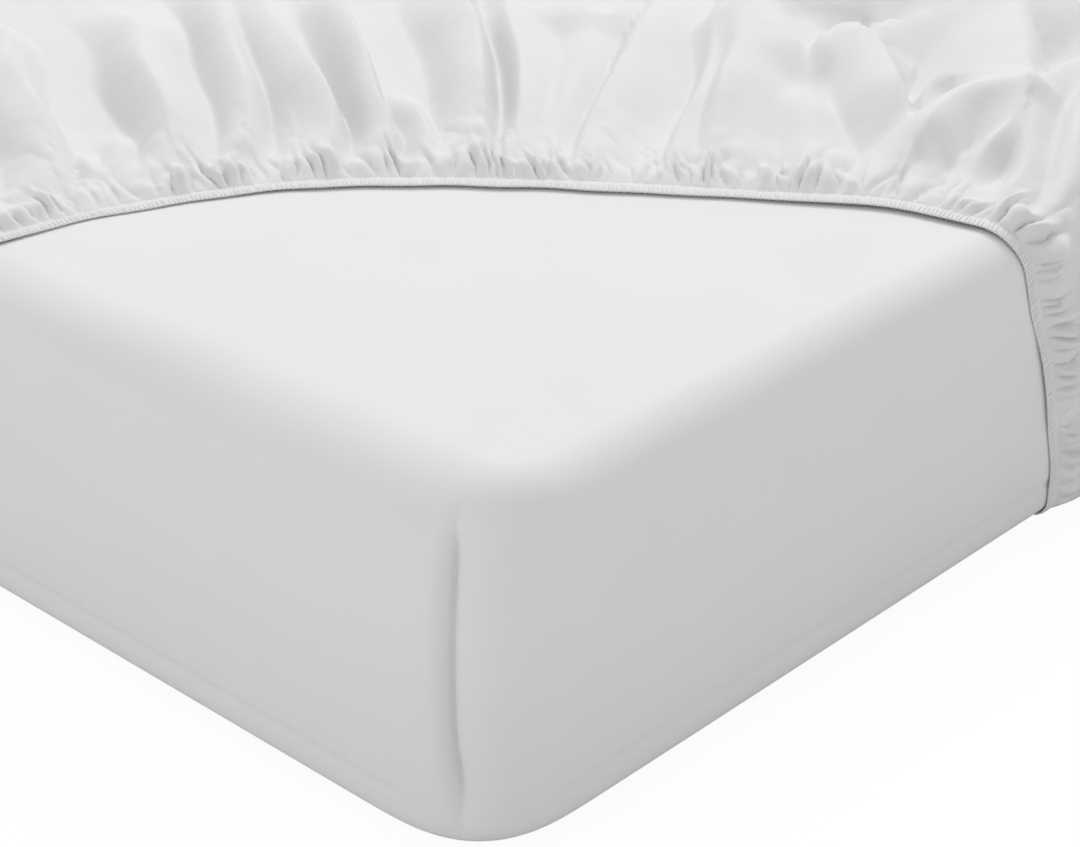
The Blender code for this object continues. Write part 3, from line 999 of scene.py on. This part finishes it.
@dataclass
class SheetCut:
    """The laid-out sheet: its hems, and the lines that its faces follow, in metres."""

    form: MattressForm
    tuck_depth: float = 0.10
    open_reach: float = 0.06
    hem_step: float = 0.00145
    hidden_step: float = 0.0040
    arc_right_share: float = 0.60
    under_band: tuple[float, ...] = (0.0115, 0.0035)
    near_rows: tuple[tuple[float, float], ...] = (
        (0.010, 0.0022),
        (0.036, 0.0031),
        (0.100, 0.0048),
        (0.240, 0.0080),
        (0.420, 0.0180),
    )
    hem: Array = field(init=False)
    hem_way: Array = field(init=False)
    hem_out: Array = field(init=False)

    def __post_init__(self) -> None:
        """Lays the drawn-back hem, and spaces the columns along it."""
        curve = spline(np.array(BARE_HEM) + self.form.bare_corner, 24)
        way = travelled(curve)
        left_side = way[np.argmax(curve[:, 0] < self.form.bare_corner[0] + 0.02)]
        self.hem_way = stepped(((left_side, self.hem_step), (way[-1], self.hidden_step)))
        self.hem = places_at(curve, self.hem_way)
        heading = np.gradient(self.hem, self.hem_way, axis=0)
        self.hem_out = np.column_stack((-heading[:, 1], heading[:, 0]))

    def _far(self, distance: float) -> Array:
        """The places of all columns on the row that runs at one distance past the far edges.

        Args:
            distance: How far past the rectangle of the arc centres; below 0 is inside it.

        Returns:
            The places, a row each.
        """
        form = self.form
        right, back = form.arc + distance
        front_line = form.edge_radius - form.length / 2
        left_line = form.edge_radius - form.width / 2
        x, y = self.hem.T
        on_front = y < front_line
        on_left = x < left_line
        middle = ~(on_front | on_left)
        share = np.cumsum(middle) / (middle.sum() + 1.0)
        turn_share = self.arc_right_share
        rising = self._eased(share / turn_share, front_line, form.arc[1], distance)
        falling = self._eased((1.0 - share) / (1.0 - turn_share), left_line, form.arc[0], distance)
        upward = share <= turn_share
        far_x = np.where(on_left, x, np.where(on_front | upward, right, falling))
        far_y = np.where(on_front, y, np.where(~on_left & (upward | on_front), rising, back))
        return np.column_stack((far_x, far_y))

    def _eased(self, share: Array, low: float, high: float, distance: float) -> Array:
        """Places along a far side, the last of them round the far corner.

        Args:
            share: How far along the side each place is, from 0 to 1.
            low: Where the side starts.
            high: Where its straight part ends.
            distance: How far past the rectangle of the arc centres the row runs.

        Returns:
            The places' distances along the side.
        """
        share = np.clip(share, 0.0, 1.0)
        bend = 0.93
        if distance < 0.0:
            return low + (high + distance - low) * share
        straight = low + (high - low) * np.minimum(share / bend, 1.0)
        return straight + distance * np.clip((share - bend) / (1.0 - bend), 0.0, 1.0)

    def rows(self) -> tuple[Array, Array]:
        """The places of the sheet's faces.

        Returns:
            The places, by row, column and axis, and each one's reach in from the bare hem.
            The reach is below 0 where the cloth lies under the elastic.
        """
        form = self.form
        inner = self._far(-self.open_reach)
        way = inner - self.hem
        length = np.linalg.norm(way, axis=1)
        near = stepped(self.near_rows)
        near_end = np.minimum(near[-1], length * 0.8)
        lines, reaches = [], []
        for depth in self.under_band:
            lines.append(self.hem + self.hem_out * depth)
            reaches.append(np.full(len(way), -depth))
        for step in near:
            reach = step / near[-1] * near_end
            lines.append(self.hem + way * (reach / length)[:, None])
            reaches.append(reach)
        last = lines[-1]
        for share in np.linspace(0.0, 1.0, 11)[1:]:
            lines.append(last * (1.0 - share) + inner * share)
        top, side, lower = form.stretches(form.edge_radius)
        flat = form.corner_radius - form.edge_radius
        beyond = np.concatenate(
            (
                [0.0],
                flat + np.linspace(0.0, top, 7),
                flat + top + (side - top) * np.linspace(0.0, 1.0, 5)[1:],
                flat + side + (lower - side) * np.linspace(0.0, 1.0, 4)[1:],
                flat + lower + self.tuck_depth * np.array((0.5, 1.0)),
            )
        )
        for distance in beyond:
            lines.append(self._far(distance))
        places = np.array(lines)
        reach = np.linalg.norm(places - self.hem, axis=-1)
        reach[: len(reaches)] = reaches
        return places, reach

    def locate(self, points: Array, places: Array, reach: Array) -> tuple[Array, Array]:
        """Where points of the laid-out cloth are, from the hem.

        Args:
            points: The points, a row each.
            places: The places of the sheet's faces.
            reach: Each place's reach in from the hem.

        Returns:
            The points' ways along the hem and reaches in from it.
        """
        flat = places.reshape(-1, 2)
        nearest = [int(np.argmin(((flat - point) ** 2).sum(axis=1))) for point in points]
        row, column = np.unravel_index(nearest, reach.shape)
        return self.hem_way[column], reach[row, column]

    def loop(self) -> tuple[Array, int]:
        """The sheet's whole edge, for the elastic.

        Returns:
            Its places all the way round, and how many of them are on the drawn-back hem.
        """
        places, _ = self.rows()
        first = len(self.under_band)
        right = self._even(places[first:, 0][1:], 0.006)
        far = self._even(places[-1], 0.006)
        left = self._even(places[:first - 1:-1, -1], 0.006)
        bare = self._even(self.hem[::-1], 0.0007)
        return np.vstack((bare, right[:-1], far[:-1], left[:-1])), len(bare)

    @staticmethod
    def _even(curve: Array, step: float) -> Array:
        """A curve again, with places about a step apart."""
        length = travelled(curve)[-1]
        return places_at(curve, np.linspace(0.0, length, max(2, round(length / step))))


def flank(share: Array) -> Array:
    """A fold's height as a share of its crest's, from its crest (0) to its foot (1)."""
    share = np.clip(share, 0.0, 1.0)
    return 0.7 * (1.0 - share**2) ** 1.5 + 0.3 * (1.0 - share) ** 1.5


@dataclass
class FittedSheet:
    """The sheet itself: one cloth, gathered at its hem and lying in slack folds."""

    cut: SheetCut
    clearance: float = 0.0016
    under_clearance: float = 0.0020
    hem_rise: float = 0.0008
    loose_rise: float = 0.0014
    fullness: float = 1.66
    side_fullness: float = 0.7  # how much fuller the gathers are on the sides than on the top
    tallest: float = 0.054  # no fold stands as high as this
    tightness: float = 0.84  # the long folds' widths, as a share of the laid-out ones
    least_spread: float = 0.0155
    crest_sway: float = 0.0025  # how far the folds' crests stray sideways
    root_reach: float = 0.022  # how far in the long folds have the height that they start with
    full_reach: float = 0.17  # how far in the long folds are full
    crumple_reach: float = 0.110  # how far in the short folds are full
    strand_height: float = 0.0008
    slack_heights: tuple[float, float] = (0.0015, 0.0035)  # everywhere, and on the top besides
    finger_depth: float = 0.66  # how far the smallest gathers cut into the larger ones
    loose_middle: tuple[float, float] = (0.48, 0.27)  # where the hem stands highest off the top
    loose_spread: float = 0.17
    cut_width: float = 2.16
    cut_length: float = 2.76
    corner_square: float = 0.38

    def rise_at(self, places: Array) -> Array:
        """How far the bare hem stands off the mattress at places near it."""
        off = places - self.cut.form.bare_corner - self.loose_middle
        return self.hem_rise + self.loose_rise * np.exp(-((off**2).sum(axis=-1)) / self.loose_spread**2)

    def ridge_heights(self, places: Array, reach: Array) -> list[Array]:
        """How high each long fold stands.

        Args:
            places: Places on the laid-out cloth.
            reach: How far in from the bare hem each one is.

        Returns:
            Each fold's heights.
        """
        corner = self.cut.form.bare_corner
        way = np.broadcast_to(self.cut.hem_way, reach.shape)
        x, y = (places - corner)[..., 0], (places - corner)[..., 1]
        way = way + self.crest_sway * ripples(x, y, 0.28, 21)
        depths = np.arange(0.0, 0.9, 0.005)
        found = []
        for ridge in RIDGES:
            crest = spline(np.array(ridge.crest) + corner, 6)
            ways, reaches = self.cut.locate(crest, places, reach)
            order = np.argsort(reaches, kind="stable")
            line = np.interp(depths, reaches[order], ways[order])
            for _ in range(30):
                line[1:-1] = (line[:-2] + 2 * line[1:-1] + line[2:]) / 4
            off = way - np.interp(reach, depths, line)
            end = reaches.max()
            rise = ridge.start * smooth_step(-0.004, self.root_reach, reach)
            rise = rise + (1.0 - ridge.start) * smooth_step(0.0, self.full_reach, reach)
            fade = smooth_step(1.6 * end, 0.75 * end, reach)
            spread = self.tightness * np.where(off > 0.0, ridge.left, max(ridge.right, self.least_spread))
            found.append(self.fullness * ridge.height * flank(np.abs(off) / spread) * rise * fade)
        return found

    def crumple_heights(self, places: Array) -> list[Array]:
        """How high each short fold stands.

        Args:
            places: Places on the laid-out cloth.

        Returns:
            Each fold's heights.
        """
        local = places - self.cut.form.bare_corner
        x, y = local[..., 0], local[..., 1]
        sway = [part + self.crest_sway * ripples(x, y, 0.2, seed) for part, seed in ((x, 23), (y, 24))]
        sway = np.stack(sway, axis=-1)
        return [self.fullness * self._one_crumple(fold, sway) for fold in CRUMPLES]

    @staticmethod
    def _one_crumple(fold: Crumple, places: Array) -> Array:
        """How high one short fold stands.

        Args:
            fold: The fold.
            places: Places, measured from the bare corner.

        Returns:
            The heights.
        """
        crest = spline(np.array(fold.crest), 7)
        along = travelled(crest)
        best = np.full(places.shape[:-1], 9.0)
        side = np.zeros(places.shape[:-1])
        way = np.zeros(places.shape[:-1])
        for start, end, gone, after in zip(crest, crest[1:], along, along[1:]):
            run = end - start
            offset = places - start
            share = np.clip((offset @ run) / (run @ run), 0.0, 1.0)
            off = offset - share[..., None] * run
            distance = np.hypot(off[..., 0], off[..., 1])
            closer = distance < best
            turn = run[0] * offset[..., 1] - run[1] * offset[..., 0]
            best = np.where(closer, distance, best)
            side = np.where(closer, turn, side)
            way = np.where(closer, gone + (after - gone) * share, way)
        way = way / along[-1]
        spread = np.where(side > 0.0, fold.left, fold.right)
        rise = fold.start + (1.0 - fold.start) * smooth_step(0.0, 0.45, way)
        fall = fold.end + (1.0 - fold.end) * smooth_step(1.0, 0.55, way)
        return fold.height * flank(best / spread) * rise * fall

    def fold_height(self, places: Array, reach: Array) -> Array:
        """How high the main folds stand together.

        Args:
            places: Places on the laid-out cloth.
            reach: How far in from the bare hem each one is.

        Returns:
            The heights. Where folds cross, the taller one's is hardly raised by the other's.
        """
        folds = self.ridge_heights(places, reach)
        crumples = self.crumple_heights(places)
        near = smooth_step(-0.002, self.crumple_reach, reach)
        total = sum(fold**5 for fold in folds) + sum((fold * near) ** 5 for fold in crumples)
        return total**0.2

    def pleat_height(self, pleats: Pleats, way: Array, reach: Array) -> Array:
        """How high one size of gathers stands.

        Args:
            pleats: The gathers.
            way: How far along the hem each place's column starts.
            reach: How far in from the hem each place is.

        Returns:
            The heights.
        """
        random = np.random.default_rng(pleats.seed)
        end = self.cut.hem_way[-1]
        widths = pleats.width * random.uniform(0.55, 1.6, int(end / pleats.width * 1.6))
        edges = np.concatenate(([-0.05], -0.05 + np.cumsum(widths)))
        tall = random.uniform(0.35, 1.25, len(edges))
        long = random.uniform(0.55, 1.4, len(edges))
        slant = random.uniform(-0.30, 0.30, len(edges))
        lean = np.interp(way, edges, slant) * np.clip(reach, 0.0, pleats.length)
        wander = 0.10 * pleats.width * ripples(way * 30, reach * 30, 1.0, pleats.seed + 1)
        moved = way + lean + wander
        index = np.clip(np.searchsorted(edges, moved) - 1, 0, len(edges) - 2)
        middle = (edges[index] + edges[index + 1]) / 2
        share = (moved - middle) / (edges[index + 1] - edges[index]) * 2.1
        puff = np.sqrt(np.clip(1.0 - share**2, 0.0, 1.0))
        puff = 0.55 * puff + 0.45 * np.maximum(1.0 - share**2, 0.0)
        rise = np.clip((reach + 0.003) / (pleats.peak + 0.003), 0.0, 1.0) ** 0.55
        fall = smooth_step(1.0, 0.20, reach / (pleats.length * long[index]))
        return pleats.height * tall[index] * puff * rise * fall

    def lift(self, places: Array, reach: Array) -> Array:
        """How far the cloth is off the mattress.

        Args:
            places: Places on the laid-out cloth.
            reach: How far in from the bare hem each one is.

        Returns:
            The lifts.
        """
        form = self.cut.form
        under = form.underneath(places)
        top = form.on_top(places)
        way = np.broadcast_to(self.cut.hem_way, reach.shape)
        folds = self.fold_height(places, reach) * smooth_step(-0.004, 0.004, reach)
        fingers, *others = PLEATS
        gathers = sum(self.pleat_height(p, way, reach) for p in others)
        small = self.pleat_height(fingers, way, reach)
        split = np.clip(small / fingers.height, 0.0, 1.0)
        depth = self.finger_depth * smooth_step(0.055, 0.008, reach)
        folds, gathers = (part * (1.0 - depth * (1.0 - split)) for part in (folds, gathers))
        gathers = (gathers + small) * (1.0 + self.side_fullness * (1.0 - top))
        local = places - form.bare_corner
        x, y = local[..., 0], local[..., 1]
        strands = ripples(way * 5.0, reach, 0.17, 33) * smooth_step(0.01, 0.05, reach)
        strands = self.strand_height * strands * smooth_step(0.50, 0.10, reach)
        slack = np.maximum(0.5 + 0.5 * ripples(x, y, 0.30, 31), 0.0)
        everywhere, above = self.slack_heights
        slack = slack * smooth_step(0.06, 0.30, reach) * (everywhere + above * top)
        loose = folds + gathers + strands + slack * self._far_slack(places)
        loose = np.maximum(loose, 0.0)
        loose = loose / (1.0 + (loose / self.tallest) ** 6) ** (1 / 6)
        base = self.clearance + (self.under_clearance - self.clearance) * under
        rise = self.rise_at(places) * (0.3 + 0.7 * top) * smooth_step(0.14, 0.0, reach)
        covered = 0.0010 * smooth_step(0.0, -0.003, reach)  # the cloth lies under the elastic
        return base + (loose + rise) * (1.0 - under) - covered

    def _far_slack(self, places: Array) -> Array:
        """1 where the cloth lies slack, less towards the far sides, where it is drawn tight."""
        half = np.array((self.cut.form.width, self.cut.form.length)) / 2
        edge = (np.abs(places) / half).max(axis=-1)
        return 1.0 - 0.75 * smooth_step(0.85, 1.05, edge)

    def build(self) -> bpy.types.Object:
        """Makes the sheet.

        Returns:
            The piece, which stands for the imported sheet.
        """
        places, reach = self.cut.rows()
        points = self.cut.form.wrapped(places, self.lift(places, reach))
        piece = grid_piece("fitted_sheet_cloth", points, places)
        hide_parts("fitted_sheet")
        return piece


# ---------------------------------------------------------------- the elastic


@dataclass
class ElasticEdge:
    """The elastic sewn round the sheet's edge, and the overlock stitches across it."""

    sheet: FittedSheet
    width: float = 0.014
    thickness: float = 0.0014
    rib_height: float = 0.0008
    rib_pitch: float = 0.0036
    thread: float = 0.0009
    outline: tuple[tuple[float, int], ...] = (
        (0.0, -1),
        (0.0, 1),
        (0.12, 1),
        (0.4, 1),
        (0.7, 1),
        (0.94, 1),
        (1.0, 0),
        (0.94, -1),
    )  # the band's section: the share of its width, and its under face (-1) or upper face (1)
    thread_course: tuple[tuple[float, float], ...] = (
        (0.06, 0.0003),
        (0.30, 0.0011),
        (0.60, 0.0012),
        (0.88, 0.0010),
        (1.03, 0.0002),
        (0.99, -0.0008),
    )  # a stitch's way over the band: the share of its width, and the height over its middle

    def frame_lines(self) -> tuple[Array, Array, Array, Array]:
        """The band's course.

        Returns:
            The laid-out places of its inner edge, the way across it, how far along it each
            place is, and how much of the bare hem's looseness each has.
        """
        loop, bare = self.sheet.cut.loop()
        ahead = np.roll(loop, -1, axis=0) - np.roll(loop, 1, axis=0)
        heading = ahead / np.linalg.norm(ahead, axis=1)[:, None]
        across = np.column_stack((heading[:, 1], -heading[:, 0]))
        for _ in range(6):
            across = (across + np.roll(across, 1, axis=0) + np.roll(across, -1, axis=0)) / 3
        across /= np.linalg.norm(across, axis=1)[:, None]
        steps = np.linalg.norm(np.roll(loop, -1, axis=0) - loop, axis=1)
        way = np.concatenate(([0.0], np.cumsum(steps)[:-1]))
        loose = np.zeros(len(loop))
        loose[:bare] = 1.0
        return loop, across, way, loose

    def place(self, loop: Array, across: Array, way: Array, loose: Array, share: Array) -> Array:
        """Points of the band's middle surface.

        Args:
            loop: The laid-out places of its inner edge.
            across: The way across it at each.
            way: How far along it each is.
            loose: How much of the bare hem's looseness each has.
            share: The share of its width, from the sheet out.

        Returns:
            The points, a row each.
        """
        form = self.sheet.cut.form
        wobble = 0.0010 * loose * ripples(way, way * 0, 0.09, 41)
        laid = loop + across * (self.width * share + wobble)[:, None]
        under = form.underneath(laid)
        top = form.on_top(laid)
        base = self.sheet.clearance + (self.sheet.under_clearance - self.sheet.clearance) * under
        rise = self.sheet.rise_at(laid) * (0.3 + 0.7 * top) * loose
        rise = rise * (1.0 + 0.25 * ripples(way, way * 0, 0.16, 42)) * (1.0 - 0.35 * share)
        return form.wrapped(laid, base + rise * (1.0 - under))

    def build_band(self) -> bpy.types.Object:
        """Makes the band.

        Returns:
            The piece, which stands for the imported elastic.
        """
        loop, across, way, loose = self.frame_lines()
        ends = [np.concatenate((part, part[:1])) for part in (loop, across, way, loose)]
        edge_a = self.place(*ends, np.zeros(len(ends[2])))
        edge_b = self.place(*ends, np.ones(len(ends[2])))
        heading = np.gradient(edge_a, axis=0)
        normal = np.cross(edge_b - edge_a, heading)
        normal /= np.linalg.norm(normal, axis=1)[:, None]
        rib = (0.5 + 0.5 * np.cos(ends[2] * 2 * math.pi / self.rib_pitch)) * ends[3]
        rows, cloth = [], []
        for share, face in (*self.outline, self.outline[0]):
            middle = self.place(*ends, np.full(len(ends[2]), share))
            crown = math.sin(math.pi * min(share * 1.3, 1.0)) if face > 0 else 0.0
            offset = face * self.thickness / 2 + crown * self.rib_height * rib
            rows.append(middle + normal * offset[:, None] if face else middle)
            cloth.append(np.column_stack((ends[2], np.full(len(middle), share * self.width))))
        piece = grid_piece("elastic_band", np.array(rows), np.array(cloth), closed=True)
        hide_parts("elastic_edge")
        return piece

    def build_stitches(self) -> bpy.types.Object:
        """Makes the overlock stitches, each a thread bent round the band's free edge.

        Returns:
            The piece, all the stitches in one mesh.
        """
        loop, across, way, loose = self.frame_lines()
        total = way[-1] + np.linalg.norm(loop[0] - loop[-1])
        count = int(total / self.rib_pitch)
        random = np.random.default_rng(51)
        at = (np.arange(count) + random.uniform(-0.12, 0.12, count)) * self.rib_pitch
        slope = random.uniform(0.15, 0.75, count) * self.rib_pitch
        lines = []
        for share, height in self.thread_course:
            where = at + slope * min(share, 1.0)
            laid = [np.interp(where, way, part) for part in (*loop.T, *across.T, loose)]
            spot = np.column_stack(laid[:2]), np.column_stack(laid[2:4]), where, laid[4]
            low = self.place(*spot, np.full(count, share))
            further = self.place(*spot, np.full(count, share + 0.05))
            ahead = [np.interp(where + 0.002, way, part) for part in (*loop.T, *across.T, loose)]
            beside = np.column_stack(ahead[:2]), np.column_stack(ahead[2:4]), where, ahead[4]
            heading = self.place(*beside, np.full(count, share)) - low
            normal = np.cross(further - low, heading)
            normal /= np.maximum(np.linalg.norm(normal, axis=1), 1e-9)[:, None]
            lines.append(low + normal * height)
        return self._threads("overlock_stitches", np.array(lines))

    def _threads(self, name: str, lines: Array) -> bpy.types.Object:
        """Short threads along lines of points, all in one mesh.

        Args:
            name: The piece's name.
            lines: The points, by place on the thread, thread and axis.

        Returns:
            The piece.
        """
        curve = bpy.data.curves.new(name, "CURVE")
        curve.dimensions = "3D"
        curve.bevel_depth = self.thread / 2 * 1.15
        curve.bevel_resolution = 0
        curve.use_fill_caps = True
        taper = np.ones(len(lines))
        taper[[0, -1]] = 0.6
        for line in lines.transpose(1, 0, 2):
            run = curve.splines.new("POLY")
            run.points.add(len(line) - 1)
            run.points.foreach_set("co", np.column_stack((line, np.ones(len(line)))).ravel())
            run.points.foreach_set("radius", taper)
        laid = bpy.data.objects.new(name, curve)
        bpy.context.scene.collection.objects.link(laid)
        bpy.ops.object.select_all(action="DESELECT")
        laid.select_set(True)
        bpy.context.view_layer.objects.active = laid
        bpy.ops.object.convert(target="MESH")
        piece = bpy.context.object
        piece.data.name = name
        bpy.ops.object.mode_set(mode="EDIT")
        bpy.ops.mesh.select_all(action="SELECT")
        bpy.ops.mesh.normals_make_consistent(inside=False)
        bpy.ops.object.mode_set(mode="OBJECT")
        piece.data.shade_smooth()
        return piece


# ---------------------------------------------------------------- the studio


@dataclass(frozen=True)
class Lamp:
    """A square soft lamp.

    Attributes:
        name: Its name.
        place: Where it hangs.
        target: What it points at.
        size: The length of its sides.
        power: Its power, in watts.
    """

    name: str
    place: tuple[float, float, float]
    target: tuple[float, float, float]
    size: float
    power: float

    def hang(self) -> None:
        """Makes the lamp."""
        lamp = bpy.data.lights.new(self.name, "AREA")
        lamp.shape = "SQUARE"
        lamp.size = self.size
        lamp.energy = self.power
        holder = bpy.data.objects.new(self.name, lamp)
        holder.location = self.place
        aim = Vector(self.target) - Vector(self.place)
        holder.rotation_euler = aim.to_track_quat("-Z", "Y").to_euler()
        bpy.context.scene.collection.objects.link(holder)


LAMPS = (
    Lamp("overhead_softbox", (4.8, 2.4, 7.0), (-0.2, -0.3, 0.28), 3.4, 380.0),
    Lamp("left_fill", (-3.4, 0.4, 0.80), (-0.7, -0.4, 0.20), 1.4, 8.5),
)


@dataclass
class Studio:
    """A pale floor, soft light and the camera."""

    form: MattressForm
    floor_half: float = 30.0
    floor_grey: float = 0.81
    floor_glow: float = 0.90  # how much of the floor's seen brightness is its own
    floor_light: float = 1.04
    sky_light: float = 0.70
    lens: float = 91.14
    sensor: float = 36.0
    camera_back: tuple[float, float] = (-1.06207, -1.04889)  # from the bare corner
    camera_height: float = 1.16523
    look_left: float = math.radians(-46.847)
    look_down: float = math.radians(28.288)

    def build_floor(self) -> None:
        """Makes the floor: a large pale plane, which is the floor's surface."""
        bpy.ops.object.select_all(action="DESELECT")
        bpy.ops.mesh.primitive_grid_add(x_subdivisions=8, y_subdivisions=8, size=2 * self.floor_half)
        floor = bpy.context.object
        floor.name = "studio_floor"
        bench = Bench("studio_floor_paint")
        bench.feed(bench.shader, "Base Color", (self.floor_grey,) * 3 + (1.0,))
        bench.feed(bench.shader, "Roughness", 0.95)
        bench.feed(bench.shader, "Specular IOR Level", 0.0)
        lit = bench.node("Emission", Color=(1.0, 1.0, 1.0, 1.0), Strength=self.floor_light)
        seen = bench.node("LightPath").outputs["Is Camera Ray"]
        share = bench.term(seen) * self.floor_glow
        mixed = bench.node("MixShader", Fac=share)
        bench.tree.links.new(bench.shader.outputs["BSDF"], mixed.inputs[1])
        bench.tree.links.new(lit.outputs["Emission"], mixed.inputs[2])
        output = bench.tree.nodes["Material Output"]
        bench.tree.links.new(mixed.outputs["Shader"], output.inputs["Surface"])
        floor.data.materials.append(bench.material)

    def build_light(self) -> None:
        """Makes the light: an even white sky, a large lamp above the far side and a low fill."""
        world = bpy.data.worlds.new("studio_sky")
        bpy.context.scene.world = world
        world.use_nodes = True
        sky = world.node_tree.nodes["Background"]
        sky.inputs["Color"].default_value = (1.0, 1.0, 1.0, 1.0)
        sky.inputs["Strength"].default_value = self.sky_light
        for lamp in LAMPS:
            lamp.hang()

    def build_camera(self) -> None:
        """Makes the camera, beyond the bare corner and looking down along the mattress."""
        camera = bpy.data.cameras.new("studio_camera")
        camera.lens = self.lens
        camera.sensor_width = self.sensor
        camera.clip_end = 200.0
        holder = bpy.data.objects.new("studio_camera", camera)
        corner = self.form.bare_corner
        holder.location = (*(corner + self.camera_back), self.camera_height)
        holder.rotation_euler = (math.pi / 2 - self.look_down, 0.0, self.look_left)
        bpy.context.scene.collection.objects.link(holder)
        bpy.context.scene.camera = holder

    def build(self) -> None:
        """Makes the whole studio."""
        self.build_floor()
        self.build_light()
        self.build_camera()
        bpy.context.scene.view_settings.view_transform = "Standard"


def main() -> None:
    """Builds the studio, then the mattress, the sheet and its elastic."""
    logging.basicConfig(level=logging.INFO, format="%(name)s %(message)s")
    low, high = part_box("mattress")
    form = MattressForm(high.x - low.x, high.y - low.y, high.z - low.z)
    studio = Studio(form)
    studio.build()

    cover = MattressCover(form).build()
    dress(cover, KnittedCover("cover_jersey", (0.795, 0.795, 0.795)).material())

    fitted = FittedSheet(SheetCut(form))
    cloth = fitted.build()
    dress(cloth, WovenCloth("sheet_percale", (0.765, 0.765, 0.765)).material())

    elastic = ElasticEdge(fitted)
    band = elastic.build_band()
    dress(band, Thread("elastic_tape", (0.78, 0.78, 0.78), 1200.0).material())
    stitches = elastic.build_stitches()
    dress(stitches, Thread("overlock_thread", (0.83, 0.83, 0.83)).material())


if __name__ == "__main__":
    main()
